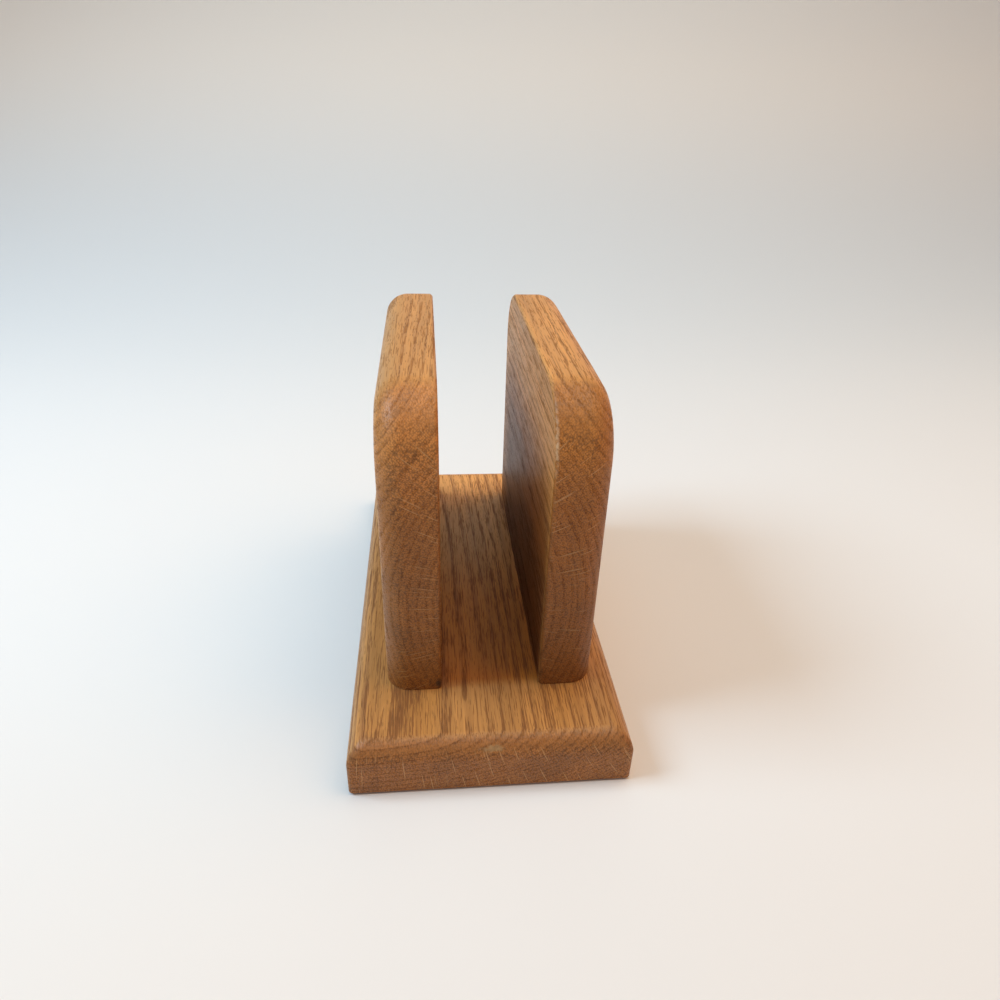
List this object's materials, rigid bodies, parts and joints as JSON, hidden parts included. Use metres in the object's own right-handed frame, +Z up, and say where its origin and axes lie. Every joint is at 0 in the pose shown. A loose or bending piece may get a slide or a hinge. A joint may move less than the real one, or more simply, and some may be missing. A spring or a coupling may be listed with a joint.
{
  "type": "napkin holder",
  "caption": "Upright napkin holder: rounded solid oak side boards screwed to an oak base board, open at both ends and the top.",
  "frame": {"origin": "centre of the base board's underside, where the object stands on the table", "axes": "+X across the base from the left upright to the right one, +Y along the base and the slot, away from the front end, +Z up"},
  "size_m": [0.091, 0.185, 0.1225],
  "materials": {
    "base_oak": "satin",
    "upright_oak": "satin",
    "screw_steel": "zinc plated"
  },
  "bodies": {
    "root": {"base_board": "base_oak", "left_upright": "upright_oak", "right_upright": "upright_oak", "screw_left_front": "screw_steel", "screw_left_back": "screw_steel", "screw_right_front": "screw_steel", "screw_right_back": "screw_steel"}
  },
  "joints": []
}
